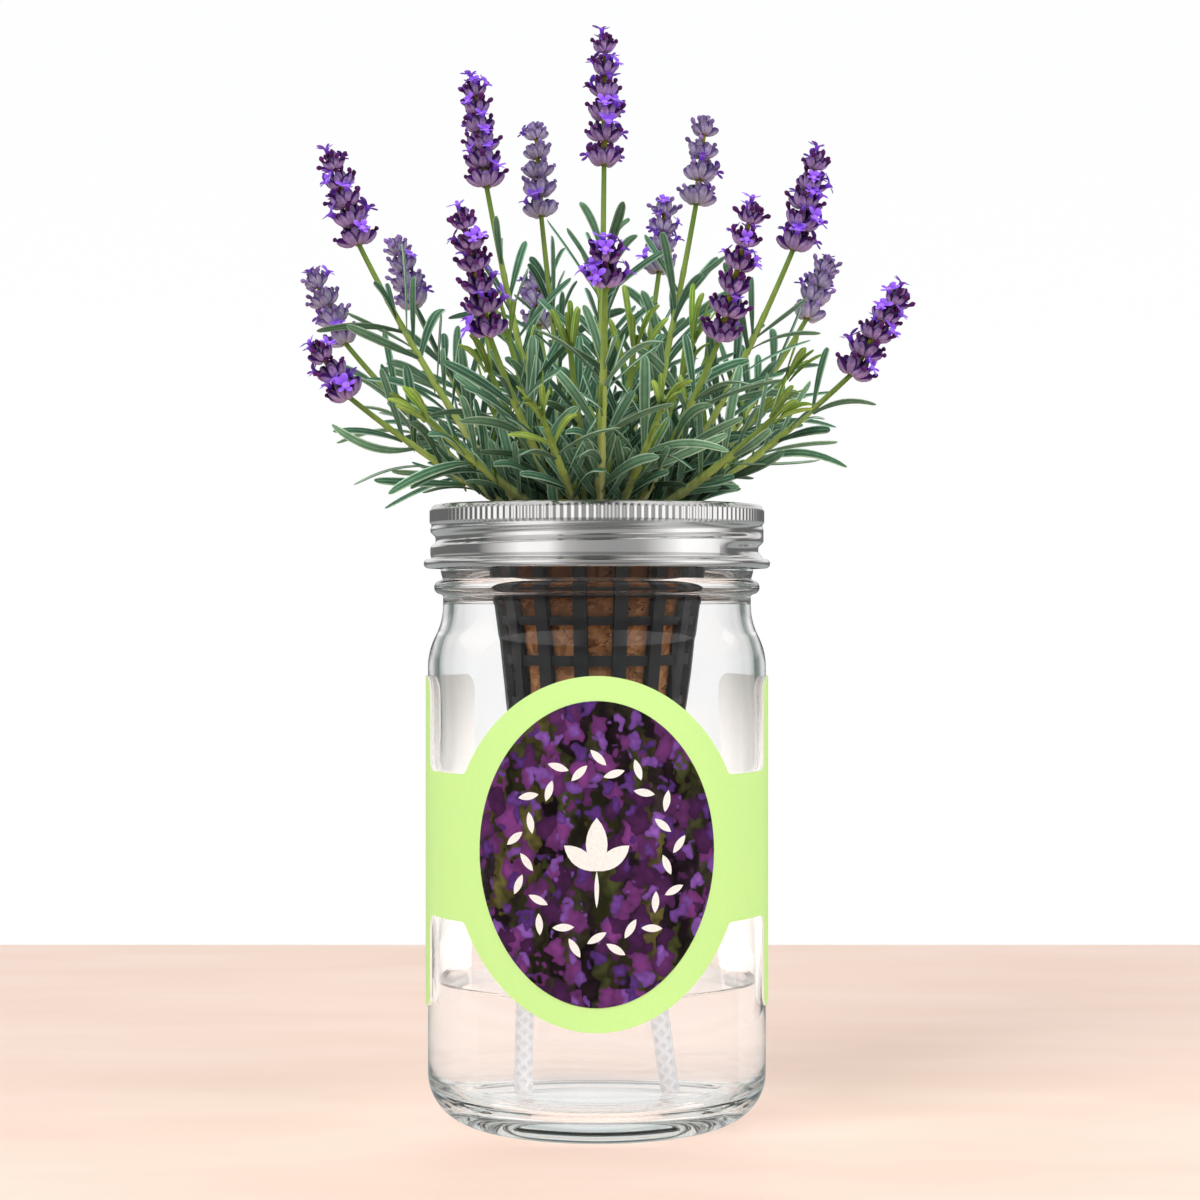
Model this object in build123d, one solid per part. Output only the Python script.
from build123d import *
import math
import os

import numpy as np

# A lavender plant growing in a net pot that hangs in a wide-mouth jar of water.
# Millimetres, +Z up, origin on the jar's axis at the plane it stands on, front towards -Y.

# Glass jar, from the table up. The mouth, the closure and the net pot follow from the body's radius
body_radius = 43.9
glass_wall = 2.9
heel_radius = 12.6
base_push_up = 2.4
base_ring_width = 2.0
floor_thickness = 7.4
inner_heel_radius = 11.0
body_height = 117.5
shoulder_rise = 16.1
shoulder_width = 3.9
neck_wall = 2.7
neck_height = 2.8
transfer_bead_height = 3.5
transfer_bead_proud = 2.3
finish_height = 17.4
finish_wall = 3.3
finish_step = 2.2
lip_rounding = 1.0

# Screw thread shared by the jar and the band
thread_pitch = 5.08
thread_turns = 1.1
thread_start_angle = -45.0
thread_crest_clearance = 0.35
thread_root_overlap = 0.4
glass_thread_root = 2.6
glass_thread_crest = 0.9

# Two-piece closure: seal and disc on the lip, band over both
seal_thickness = 0.9
disc_sheet = 0.7
disc_edge_gap = 0.4
panel_drop = 1.5
panel_side_gap = 0.5
band_sheet = 0.5
band_seat_gap = 0.1
band_thread_room = 1.9
band_lip_step = 1.1
band_skirt = 16.4
band_bead = 1.2
band_corner = 1.0
knurl_zone = 5.2
knurl_count = 150
knurl_depth = 0.4
knurl_proud = 0.5
groove_depth = 1.0
groove_mouth = 3.2
groove_floor = 1.0
groove_rise = 4.8
ridge_root = 3.6
ridge_crest = 1.6

# Net pot hung in the disc
net_depth = 64.4
net_taper = 8.3
net_hole_clearance = 0.6
net_wall = 1.2
net_floor = 1.8
net_rim_width = 4.6
net_rim_side_gap = 1.7
net_rim_thickness = 1.2
rib_count = 16
rib_width = 3.4
rib_proud = 0.7
rib_turn = 2.0
ring_height = 2.3
ring_pitch = 10.2
ring_count = 4
cup_height = 7.0
slot_count = 3
slot_spacing = 38.0
slot_width = 2.4
slot_length = 7.0
slot_reach = 13.0

# Growing plug and water
plug_clearance = 0.3
plug_below_rim = 0.4
water_depth = 29.0
water_clearance = 0.2

# Wicks, as routes from the plug down to the jar's floor
wick_diameter = 4.2
wick_hole_clearance = 0.35
well_clearance = 1.2
left_wick_foot = [(-11.0, -3.0, 74.0), (-14.4, -5.2, 50.0), (-16.2, -5.0, 28.0), (-16.0, -4.4, 8.5)]
right_wick_foot = [(11.0, -2.0, 74.0), (12.2, -4.2, 50.0), (13.6, -5.2, 28.0), (16.2, -5.0, 8.5)]
wick_bend_share = 0.45

# Card label: a round front and two side panels, joined by straps, with a narrower strap round the back
label_low_margin = 16.9
label_high_margin = 1.1
label_card = 0.5
label_gap = 0.1
label_half_width = 42.2
strap_low = 25.2
strap_height = 36.8
panel_start = 73.0
panel_end = 127.0
panel_inset = 1.2
panel_corner = 4.5
back_strap_low = 28.0
back_strap_height = 28.5
print_half_width = 31.1
print_margin = 6.1
print_thickness = 0.15

# Plant: stems rise from the plug, heights are above the band's top
stem_radius = 1.1
stem_foot_inset = 8.72
stem_bow = 0.035
stem_root = 1.2
spike_radius = 6.6
spike_foot_radius = 1.9
spike_upright = 0.35
spike_seat_gap = 0.05
spike_taper = 0.5
spike_taper_power = 1.6
# Each whorl's outline: share of its radius, and share of its height
whorl_outline = [(1.0, 0.5), (0.82, 0.82)]
whorl_waist = 0.5
flower_stalks = [
    # azimuth from +X, reach, height of the spike's foot, spike length, whorls
    (68, 5, 89.5, 35, 6),
    (153, 33, 85.5, 29, 6),
    (112, 41, 81.0, 27, 5),
    (180, 62, 68.0, 25, 5),
    (145, 61, 56.0, 20, 4),
    (235, 46, 40.5, 32, 6),
    (169, 68, 43.5, 22, 4),
    (199, 66, 26.5, 16, 3),
    (272, 60, 50.0, 11, 2),
    (69, 48, 66.5, 22, 4),
    (25, 29, 80.5, 24, 4),
    (309, 48, 39.5, 35, 6),
    (354, 51, 66.0, 26, 5),
    (31, 67, 52.5, 18, 4),
    (344, 67, 32.5, 25, 5),
    (106, 60, 53.0, 16, 3),
]
leafy_shoots = [
    # azimuth from +X, reach, height of the tip
    (48, 46, 44),
    (88, 26, 62),
    (87, 58, 26),
    (128, 52, 34),
    (190, 24, 46),
    (216, 54, 22),
    (214, 34, 36),
    (254, 50, 22),
    (256, 28, 40),
    (290, 48, 24),
    (292, 26, 42),
    (327, 54, 22),
    (328, 30, 44),
    (9, 52, 36),
]

# Leaves stand in crossed pairs up the stems
leaf_width = 3.0
leaf_thickness = 0.8
leaf_length = 25.0
leaf_short = 0.72
leaf_spread = 36.0
leaf_spread_step = 7.0
leaf_spread_steps = 4
leaf_retry_turn = 23.0
leaf_stem_turn = 40.0
leaf_bearing = (0.3, -0.9, 0.1)
leaf_droop = 0.22
leaf_pair_step = 8.0
leaf_first = 9.0
leaf_stem_share = 0.72
leaf_root_gap = 0.45
leaf_gap = 0.3
leaf_tries = 8
leaf_root_share = 0.25
# How many points stand for a stem, a spike and a leaf where room is looked for
stem_points = 45
spike_points = 9
leaf_points = 12
# Each point of a leaf's outline: share of its length, and share of its full width
leaf_outline = [(0.0, 0.45), (0.35, 0.9), (0.7, 0.95)]

# Heights and radii that follow from the sizes above
neck_radius = body_radius - shoulder_width
mouth_radius = neck_radius - neck_wall
finish_radius = mouth_radius + finish_wall
transfer_bead_radius = neck_radius + transfer_bead_proud
band_inner_radius = finish_radius + band_thread_room
band_lip_radius = mouth_radius + band_lip_step
neck_z = body_height + shoulder_rise
bead_z = neck_z + neck_height
bead_top_z = bead_z + transfer_bead_height
lip_z = bead_top_z + finish_height
seal_top_z = lip_z + seal_thickness
disc_top_z = seal_top_z + disc_sheet
band_top_z = disc_top_z + band_seat_gap + band_sheet
band_bottom_z = band_top_z - band_skirt
band_outer_radius = band_inner_radius + band_sheet
knurl_radius = band_outer_radius + knurl_proud
disc_radius = band_inner_radius - disc_edge_gap
panel_top_z = disc_top_z - panel_drop
panel_radius = mouth_radius - panel_side_gap
net_rim_radius = panel_radius - disc_sheet - net_rim_side_gap
net_top_radius = net_rim_radius - net_rim_width
net_bottom_radius = net_top_radius - net_taper
rim_z = panel_top_z
net_bottom_z = rim_z - net_depth
net_floor_z = net_bottom_z + net_floor
plug_top_z = rim_z + net_rim_thickness - plug_below_rim
inner_radius = body_radius - glass_wall
water_z = floor_thickness + water_depth
wick_radius = wick_diameter / 2
label_bottom_z = heel_radius + label_low_margin
label_top_z = body_height - label_high_margin
label_radius = body_radius + label_gap
print_radius = label_radius + label_card
widest_reach = max(reach for _, reach, *_ in flower_stalks + leafy_shoots)
stem_foot_share = (net_top_radius - stem_foot_inset) / widest_reach


def turned(outline):
    """A solid turned about Z from a closed outline of (radius, height)."""
    return revolve(Plane.XZ * make_face(outline), Axis.Z)


def shoulder(start, end):
    """Two tangent arcs that carry a wall inwards from one upright run to the next."""
    inwards = start[0] - end[0]
    rise = end[1] - start[1]
    radius = (inwards**2 + rise**2) / (4 * inwards)
    turn = math.degrees(math.asin(rise / (2 * radius)))
    lower = JernArc(start, (0, 1), radius, turn)
    upper = JernArc(lower @ 1, lower % 1, radius, -turn)
    return [lower, upper]


def screw_ridge(root_radius, crest_radius, root_width, crest_width, start_z):
    """A ridge of trapezoid section wound along the thread's helix."""
    path = Helix(thread_pitch, thread_pitch * thread_turns, root_radius, (0, 0, start_z))
    section_plane = Plane(path @ 0, x_dir=(1, 0, 0), z_dir=path % 0)
    height = crest_radius - root_radius
    corners = [
        (0, -root_width / 2),
        (height, -crest_width / 2),
        (height, crest_width / 2),
        (0, root_width / 2),
    ]
    section = section_plane * make_face(Polyline(*corners, close=True))
    ridge = sweep(section, path, is_frenet=True)
    return Rot(0, 0, thread_start_angle) * ridge


groove_start_z = band_bottom_z + groove_rise + thread_pitch * thread_start_angle / 360
groove_bottom_radius = band_outer_radius - groove_depth
ridge_crest_radius = groove_bottom_radius - band_sheet
glass_thread_z = groove_start_z + thread_pitch / 2
glass_thread_radius = band_inner_radius - thread_crest_clearance


def glass_jar():
    ring_outer = body_radius - heel_radius
    ring_inner = ring_outer - base_ring_width
    bead_round = transfer_bead_height / 2
    bead_core = transfer_bead_radius - bead_round
    finish_z = bead_top_z + finish_step
    outside = [
        Line((0, base_push_up), (ring_inner - base_push_up, base_push_up)),
        Line((ring_inner - base_push_up, base_push_up), (ring_inner, 0)),
        Line((ring_inner, 0), (ring_outer, 0)),
        JernArc((ring_outer, 0), (1, 0), heel_radius, 90),
        Line((body_radius, heel_radius), (body_radius, body_height)),
        *shoulder((body_radius, body_height), (neck_radius, neck_z)),
        Line((neck_radius, neck_z), (neck_radius, bead_z)),
        Line((neck_radius, bead_z), (bead_core, bead_z)),
        JernArc((bead_core, bead_z), (1, 0), bead_round, 180),
        Line((bead_core, bead_top_z), (neck_radius, bead_top_z)),
        Line((neck_radius, bead_top_z), (finish_radius, finish_z)),
        Line((finish_radius, finish_z), (finish_radius, lip_z - lip_rounding)),
        JernArc((finish_radius, lip_z - lip_rounding), (0, 1), lip_rounding, 90),
        Line((finish_radius - lip_rounding, lip_z), (mouth_radius + lip_rounding, lip_z)),
        JernArc((mouth_radius + lip_rounding, lip_z), (-1, 0), lip_rounding, 90),
    ]
    inside = [
        Line((0, floor_thickness), (inner_radius - inner_heel_radius, floor_thickness)),
        JernArc((inner_radius - inner_heel_radius, floor_thickness), (1, 0), inner_heel_radius, 90),
        Line((inner_radius, floor_thickness + inner_heel_radius), (inner_radius, body_height)),
        *shoulder((inner_radius, body_height), (mouth_radius, neck_z)),
        Line((mouth_radius, neck_z), (mouth_radius, lip_z - lip_rounding)),
        Line((0, base_push_up), (0, floor_thickness)),
    ]
    root = finish_radius - thread_root_overlap
    thread = screw_ridge(root, glass_thread_radius, glass_thread_root, glass_thread_crest, glass_thread_z)
    return turned(outside + inside) + thread


def water():
    radius = inner_radius - water_clearance
    floor = floor_thickness + water_clearance
    heel = inner_heel_radius
    outline = [
        Line((0, floor), (radius - heel, floor)),
        JernArc((radius - heel, floor), (1, 0), heel, 90),
        Line((radius, floor + heel), (radius, water_z)),
        Line((radius, water_z), (0, water_z)),
        Line((0, water_z), (0, floor)),
    ]
    body = turned(outline)
    for route in (left_wick_foot, right_wick_foot):
        body -= wick_well(route)
    return body


def wick_well(route):
    """The upright slot in the water that a wick stands in and is drawn up through."""
    start = Vector(*route[-3][:2])
    end = Vector(*route[-1][:2])
    along = end - start
    length = max(along.length, wick_diameter)
    width = wick_diameter + 2 * well_clearance
    angle = math.degrees(math.atan2(along.Y, along.X))
    shape = Pos((start + end) * 0.5) * Rot(0, 0, angle) * SlotCenterToCenter(length, width)
    return Pos(0, 0, floor_thickness) * extrude(shape, water_depth * 2)


def label_band(start_z, end_z, radius, thickness):
    """A hollow cylinder of card about the jar."""
    height = end_z - start_z
    tube = Cylinder(radius + thickness, height) - Cylinder(radius, height)
    return Pos(0, 0, (start_z + end_z) / 2) * tube


def front_oval(half_width, half_height, radius):
    """An upright oval prism in front of the jar, as wide as an arc of the given half length."""
    across = radius * math.sin(half_width / radius)
    centre_z = (label_bottom_z + label_top_z) / 2
    oval = Plane.XZ * Pos(0, centre_z, 0) * Ellipse(across, half_height)
    return extrude(oval, radius * 2)


def side_panels():
    """A prism across the jar that cuts a round-cornered panel from each side of the card."""
    front_y = -label_radius * math.cos(math.radians(panel_start))
    back_y = -label_radius * math.cos(math.radians(panel_end))
    panel_height = label_top_z - label_bottom_z - 2 * panel_inset
    centre = Pos((front_y + back_y) / 2, (label_bottom_z + label_top_z) / 2, 0)
    panel = Plane.YZ * centre * RectangleRounded(back_y - front_y, panel_height, panel_corner)
    return extrude(panel, 2 * label_radius, both=True)


def strap_slab(side, low, height):
    """A slab that takes in a strap's height on the front (-1) or the back (1) of the jar."""
    across = 4 * label_radius
    middle_z = label_bottom_z + low + height / 2
    return Pos(0, side * across / 2, middle_z) * Box(across, across, height)


def label_wrap():
    half_height = (label_top_z - label_bottom_z) / 2
    front = front_oval(label_half_width, half_height, label_radius)
    straps = strap_slab(-1, strap_low, strap_height) + strap_slab(1, back_strap_low, back_strap_height)
    outline = front + side_panels() + straps
    return label_band(label_bottom_z, label_top_z, label_radius, label_card) & outline


def label_print():
    half_height = (label_top_z - label_bottom_z) / 2 - print_margin
    sleeve = label_band(label_bottom_z, label_top_z, print_radius, print_thickness)
    return sleeve & front_oval(print_half_width, half_height, print_radius)


def lid_seal():
    inner = mouth_radius + lip_rounding
    outer = finish_radius - lip_rounding / 2
    ring = Cylinder(outer, seal_thickness) - Cylinder(inner, seal_thickness)
    return Pos(0, 0, lip_z + seal_thickness / 2) * ring


def lid_disc():
    """Flat disc whose middle is pressed down into the mouth and bored for the net pot."""
    hole = net_top_radius + net_hole_clearance
    panel_bottom_z = panel_top_z - disc_sheet
    corners = [
        (hole, panel_bottom_z),
        (panel_radius, panel_bottom_z),
        (panel_radius, seal_top_z),
        (disc_radius, seal_top_z),
        (disc_radius, disc_top_z),
        (panel_radius - disc_sheet, disc_top_z),
        (panel_radius - disc_sheet, panel_top_z),
        (hole, panel_top_z),
    ]
    return turned(Polyline(*corners, close=True))


def screw_band():
    """Rolled sheet band: knurled rim, skirt with a wound thread groove, and a beaded edge."""
    lip_z0 = band_top_z - band_sheet
    knurl_z = band_top_z - knurl_zone
    corner_z = band_top_z - band_corner
    bead_top = band_bottom_z + 2 * band_bead
    bead_core = band_outer_radius + band_sheet
    outline = [
        Line((band_lip_radius, lip_z0), (band_lip_radius, band_top_z)),
        Line((band_lip_radius, band_top_z), (band_outer_radius - band_corner, band_top_z)),
        JernArc((band_outer_radius, corner_z), (0, 1), band_corner, 90),
        Line((band_outer_radius, corner_z), (band_outer_radius, bead_top)),
        Line((band_outer_radius, bead_top), (bead_core, bead_top)),
        JernArc((bead_core, band_bottom_z), (1, 0), band_bead, 180),
        Line((bead_core, band_bottom_z), (band_inner_radius, band_bottom_z)),
        Line((band_inner_radius, band_bottom_z), (band_inner_radius, lip_z0)),
        Line((band_inner_radius, lip_z0), (band_lip_radius, lip_z0)),
    ]
    shell = turned(outline)
    wall_middle = band_inner_radius + band_sheet / 2
    ridge = screw_ridge(wall_middle, ridge_crest_radius, ridge_root, ridge_crest, groove_start_z)
    outside = band_outer_radius + band_sheet
    groove = screw_ridge(outside, groove_bottom_radius, groove_mouth, groove_floor, groove_start_z)
    return shell + ridge - groove + knurls(knurl_z, corner_z)


def knurls(low_z, high_z):
    """A toothed ring of upright grip ridges round the band's rim."""
    step = math.pi / knurl_count
    root = knurl_radius - knurl_depth
    rim = []
    for tooth in range(knurl_count):
        for share, radius in ((0, root), (0.6, knurl_radius), (1.4, knurl_radius)):
            angle = (2 * tooth + share) * step
            rim.append((radius * math.cos(angle), radius * math.sin(angle)))
    inner = (band_outer_radius + band_inner_radius) / 2
    face = make_face(Polyline(*rim, close=True)) - Circle(inner)
    return Pos(0, 0, low_z) * extrude(face, high_z - low_z)


def net_radius(z):
    """Outside of the net pot's ribs at a height."""
    share = (z - net_bottom_z) / net_depth
    return net_bottom_radius + (net_top_radius - net_bottom_radius) * share


def net_hoop(low_z, high_z):
    """One slanting hoop of the net pot's wall."""
    corners = []
    for z, inset in ((low_z, 0), (high_z, 0), (high_z, net_wall), (low_z, net_wall)):
        corners.append((net_radius(z) - rib_proud - inset, z))
    return turned(Polyline(*corners, close=True))


def net_pot():
    cup_top_z = net_bottom_z + cup_height
    hoops = [net_hoop(net_bottom_z, cup_top_z)]
    for number in range(ring_count):
        middle_z = cup_top_z - ring_height / 2 + (number + 1) * ring_pitch
        hoops.append(net_hoop(middle_z - ring_height / 2, middle_z + ring_height / 2))
    collar_z = cup_top_z + (ring_count + 1) * ring_pitch - ring_height
    hoops.append(net_hoop(collar_z, rim_z + net_rim_thickness))
    inner = net_radius(rim_z) - rib_proud - net_wall / 2
    rim = Cylinder(net_rim_radius, net_rim_thickness) - Cylinder(inner, net_rim_thickness)
    hoops.append(Pos(0, 0, rim_z + net_rim_thickness / 2) * rim)
    floor_radius = net_radius(net_bottom_z) - rib_proud - net_wall / 2
    hoops.append(Pos(0, 0, net_bottom_z + net_floor / 2) * Cylinder(floor_radius, net_floor))
    low_z, high_z = cup_top_z - ring_height, collar_z + ring_height
    corners = [
        (net_radius(low_z) - rib_proud - net_wall, low_z),
        (net_radius(low_z), low_z),
        (net_radius(high_z), high_z),
        (net_radius(high_z) - rib_proud - net_wall, high_z),
    ]
    rib = extrude(Plane.XZ * make_face(Polyline(*corners, close=True)), rib_width / 2, both=True)
    spacing = 360 / rib_count
    ribs = [Rot(0, 0, rib_turn + (number + 0.5) * spacing) * rib for number in range(rib_count)]
    body = hoops[0].fuse(*hoops[1:], *ribs)
    return body - net_floor_cuts()


def net_floor_cuts():
    """Holes for the two wicks and drain slots between them in the net pot's floor."""
    middle_z = net_bottom_z + net_floor / 2
    cuts = []
    for route in (left_wick_foot, right_wick_foot):
        hole = Cylinder(wick_radius + wick_hole_clearance, net_floor * 2)
        cuts.append(Pos(route[0][0], route[0][1], middle_z) * hole)
    slot = extrude(SlotOverall(slot_length, slot_width), net_floor, both=True)
    for side in (90, 270):
        for number in range(slot_count):
            place = side + (number - (slot_count - 1) / 2) * slot_spacing
            cuts.append(Rot(0, 0, place) * Pos(slot_reach, 0, middle_z) * slot)
    return cuts


def grow_medium():
    """The growing plug: a tapered cork-like block that fills the net pot."""
    inset = rib_proud + net_wall + plug_clearance
    corners = [
        (0, net_floor_z),
        (net_radius(net_floor_z) - inset, net_floor_z),
        (net_radius(plug_top_z) - inset, plug_top_z),
        (0, plug_top_z),
    ]
    return turned(Polyline(*corners, close=True))


def wick(foot, name):
    """A braided cord hanging from the plug through the net pot's floor."""
    points = [Vector(foot[0][0], foot[0][1], net_floor_z)] + [Vector(*point) for point in foot]
    radii = []
    for before, corner, after in zip(points, points[1:], points[2:]):
        run_in, run_out = corner - before, after - corner
        half_turn = math.radians(run_in.get_angle(run_out)) / 2
        radii.append(wick_bend_share * min(run_in.length, run_out.length) / math.tan(half_turn))
    path = FilletPolyline(*points, radius=radii)
    print(name, "length", round(path.length, 1), "bend radii", [round(radius) for radius in radii])
    return sweep(Plane(path @ 0, z_dir=path % 0) * Circle(wick_radius), path)


def stalk_path(azimuth, reach, height):
    """One bowed arc from inside the plug up to where a flower spike or a shoot's tip begins."""
    outwards = Vector(math.cos(math.radians(azimuth)), math.sin(math.radians(azimuth)), 0)
    upwards = Vector(0, 0, 1)
    foot = outwards * (stem_foot_share * reach) + upwards * (plug_top_z - stem_root)
    top = outwards * reach + upwards * (band_top_z + height)
    chord = (top - foot).normalized()
    sideways = outwards * chord.Z - upwards * chord.dot(outwards)
    bow = stem_bow * reach * height / (top - foot).length
    middle = (foot + top) * 0.5 + sideways * bow
    return ThreePointArc(foot, middle, top)


def stem(path):
    """A round stem along its arc, cut off flat where it stands on the plug."""
    whole = sweep(Plane(path @ 0, z_dir=path % 0) * Circle(stem_radius), path)
    return split(whole, Plane.XY.offset(plug_top_z), keep=Keep.TOP)


def whorl_radius(share):
    """How wide a spike is at a share of its length."""
    return spike_radius * (1 - spike_taper * share**spike_taper_power)


def spike_axis(path):
    """Foot and direction of a spike, which stands more upright than the stem that carries it."""
    along = path % 1
    upright = (along * (1 - spike_upright) + Vector(0, 0, spike_upright)).normalized()
    tilt = math.radians(along.get_angle(upright))
    return path @ 1 + upright * (stem_radius * math.tan(tilt) + spike_seat_gap), upright


def flower_spike(path, length, whorls):
    """Whorls of buds set one above another, each a flared collar round the stem."""
    step = length / whorls
    outline = [(0, 0), (spike_foot_radius, 0)]
    for number in range(whorls):
        start = number * step
        radius = whorl_radius(number / whorls)
        for width, rise in whorl_outline:
            outline.append((width * radius, start + rise * step))
        if number < whorls - 1:
            outline.append((whorl_waist * radius, start + step))
    outline.append((0, length))
    foot, upright = spike_axis(path)
    return Plane(foot, z_dir=upright) * turned(Polyline(*outline, close=True))


def array(vector):
    return np.array([vector.X, vector.Y, vector.Z])


def unit(vector):
    return vector / np.linalg.norm(vector)


def leaf_middle(root, direction, length, share):
    """A point on a leaf's midline, which starts along its direction and droops to the tip."""
    return root + length * (share * direction - leaf_droop * share**2 * np.array([0, 0, 1]))


def leaf_solid(root, direction, side, length):
    """A narrow blade with a diamond section, widest past its middle and pointed at the tip."""
    rings = []
    for share, width in leaf_outline:
        middle = leaf_middle(root, direction, length, share)
        slope = unit(direction - 2 * leaf_droop * share * np.array([0, 0, 1]))
        normal = unit(np.cross(side, slope))
        half, rise = side * leaf_width * width / 2, normal * leaf_thickness / 2
        rings.append([middle + half, middle + rise, middle - half, middle - rise])
    tip = leaf_middle(root, direction, length, 1.0)
    corners = [(rings[0][0], rings[0][1], rings[0][2]), (rings[0][0], rings[0][2], rings[0][3])]
    for lower, upper in zip(rings, rings[1:]):
        for number in range(4):
            after = (number + 1) % 4
            corners.append((lower[number], lower[after], upper[after]))
            corners.append((lower[number], upper[after], upper[number]))
    for number in range(4):
        corners.append((rings[-1][number], rings[-1][(number + 1) % 4], tip))
    faces = [Face(Wire.make_polygon([Vector(*p) for p in triangle])) for triangle in corners]
    return Solid(Shell(faces))


def clear_of(points, halves, near_root, taken, stem_number):
    """Whether a leaf's points keep their distance from all that is placed, its own stem apart."""
    apart = np.linalg.norm(points[:, None, :] - taken["at"][None, :, :], axis=2)
    close = apart < taken["room"][None, :] + halves[:, None] + leaf_gap
    own = near_root[:, None] & (taken["stem"][None, :] == stem_number)
    if (close & ~own).any():
        return False
    radii = np.hypot(points[:, 0], points[:, 1])
    low = points[:, 2] < band_top_z + leaf_width
    inside = radii < net_radius(plug_top_z) - leaf_width - rib_proud - net_wall
    outside = radii > band_outer_radius + 2 * band_bead + leaf_width
    sunk = points[:, 2] < plug_top_z + leaf_width / 2
    drooped = points[:, 2] < band_bottom_z
    return not ((low & ~inside & ~outside).any() or (inside & sunk).any() or drooped.any())


def leaf_sites(path, first_turn):
    """Pairs of (root, direction, side) up a stem, each pair turned a quarter from the last."""
    sites = []
    length = path.length
    start = stem_root + leaf_first
    count = int((length * leaf_stem_share - start) / leaf_pair_step) + 1
    for number in range(count):
        share = (start + number * leaf_pair_step) / length
        tangent = array(path % share)
        level = unit(np.cross(tangent, np.array(leaf_bearing)))
        across = np.cross(tangent, level)
        for half in (0, 180):
            turn = math.radians(first_turn + 90 * number + half)
            outwards = math.cos(turn) * level + math.sin(turn) * across
            sites.append((array(path @ share), tangent, outwards))
    return sites


def stems_and_spikes(paths, spikes_at):
    """Points along every stem and spike, with the room that each takes up round itself."""
    at, room, stem_numbers = [], [], []
    for number, path in enumerate(paths):
        for share in np.linspace(0, 1, stem_points):
            at.append(array(path @ share))
            room.append(stem_radius)
            stem_numbers.append(number)
    for path, length in spikes_at:
        foot, upright = spike_axis(path)
        for share in np.linspace(0, 1, spike_points):
            at.append(array(foot + upright * (share * length)))
            room.append(whorl_radius(share))
            stem_numbers.append(-1)
    return {"at": np.array(at), "room": np.array(room), "stem": np.array(stem_numbers)}


def grow_leaves(paths, spikes_at):
    """Leaves on every stem that find room, sorted into the plant's five sides."""
    taken = stems_and_spikes(paths, spikes_at)
    groups = {"inner": [], "right": [], "back": [], "left": [], "front": []}
    shares = np.linspace(0, 1, leaf_points)
    near_root = shares < leaf_root_share
    outline_shares, outline_widths = zip(*leaf_outline, (1.0, 0.1))
    halves = leaf_width / 2 * np.interp(shares, outline_shares, outline_widths)
    for number, path in enumerate(paths):
        for place, (foot, tangent, outwards) in enumerate(leaf_sites(path, leaf_stem_turn * number)):
            for attempt in range(leaf_tries):
                widening = leaf_spread_step * ((place + attempt) % leaf_spread_steps)
                spread = math.radians(leaf_spread + widening)
                turn = math.radians(leaf_retry_turn * attempt * (-1) ** attempt)
                aside = np.cross(tangent, outwards)
                away = math.cos(turn) * outwards + math.sin(turn) * aside
                direction = math.cos(spread) * tangent + math.sin(spread) * away
                length = leaf_length * (1 - (1 - leaf_short) * attempt / leaf_tries)
                root = foot + away * (stem_radius + leaf_root_gap)
                points = np.array([leaf_middle(root, direction, length, share) for share in shares])
                if clear_of(points, halves, near_root, taken, number):
                    side = unit(np.cross(tangent, away))
                    group = leaf_group(points[leaf_points // 2])
                    groups[group].append(leaf_solid(root, direction, side, length))
                    taken["at"] = np.vstack([taken["at"], points])
                    taken["room"] = np.append(taken["room"], halves)
                    taken["stem"] = np.append(taken["stem"], np.full(len(points), -1))
                    break
    return groups


def leaf_group(point):
    if math.hypot(point[0], point[1]) < body_radius / 2:
        return "inner"
    quarter = round(math.degrees(math.atan2(point[1], point[0])) / 90) % 4
    return ("right", "back", "left", "front")[quarter]


nodes = {
    "glass_jar": glass_jar(),
    "water": water(),
    "label_wrap": label_wrap(),
    "label_print": label_print(),
    "lid_seal": lid_seal(),
    "lid_disc": lid_disc(),
    "screw_band": screw_band(),
    "net_pot": net_pot(),
    "grow_medium": grow_medium(),
    "wick_left": wick(left_wick_foot, "wick_left"),
    "wick_right": wick(right_wick_foot, "wick_right"),
}

stalk_paths = [stalk_path(azimuth, reach, height) for azimuth, reach, height, _, _ in flower_stalks]
shoot_paths = [stalk_path(*shoot) for shoot in leafy_shoots]
spikes_at = []
for number, (path, stalk) in enumerate(zip(stalk_paths, flower_stalks), start=1):
    spike_length, whorls = stalk[3], stalk[4]
    nodes[f"flower_stem_{number:02d}"] = stem(path)
    nodes[f"flower_spike_{number:02d}"] = flower_spike(path, spike_length, whorls)
    spikes_at.append((path, spike_length))
nodes["leafy_shoots"] = Compound([stem(path).solid() for path in shoot_paths])
leaves = grow_leaves(stalk_paths + shoot_paths, spikes_at)
for side, blades in leaves.items():
    nodes[f"leaves_{side}"] = Compound(blades)
    print("leaves", side, len(blades))

os.makedirs("parts", exist_ok=True)
for name, shape in nodes.items():
    export_step(shape, f"parts/{name}.step")
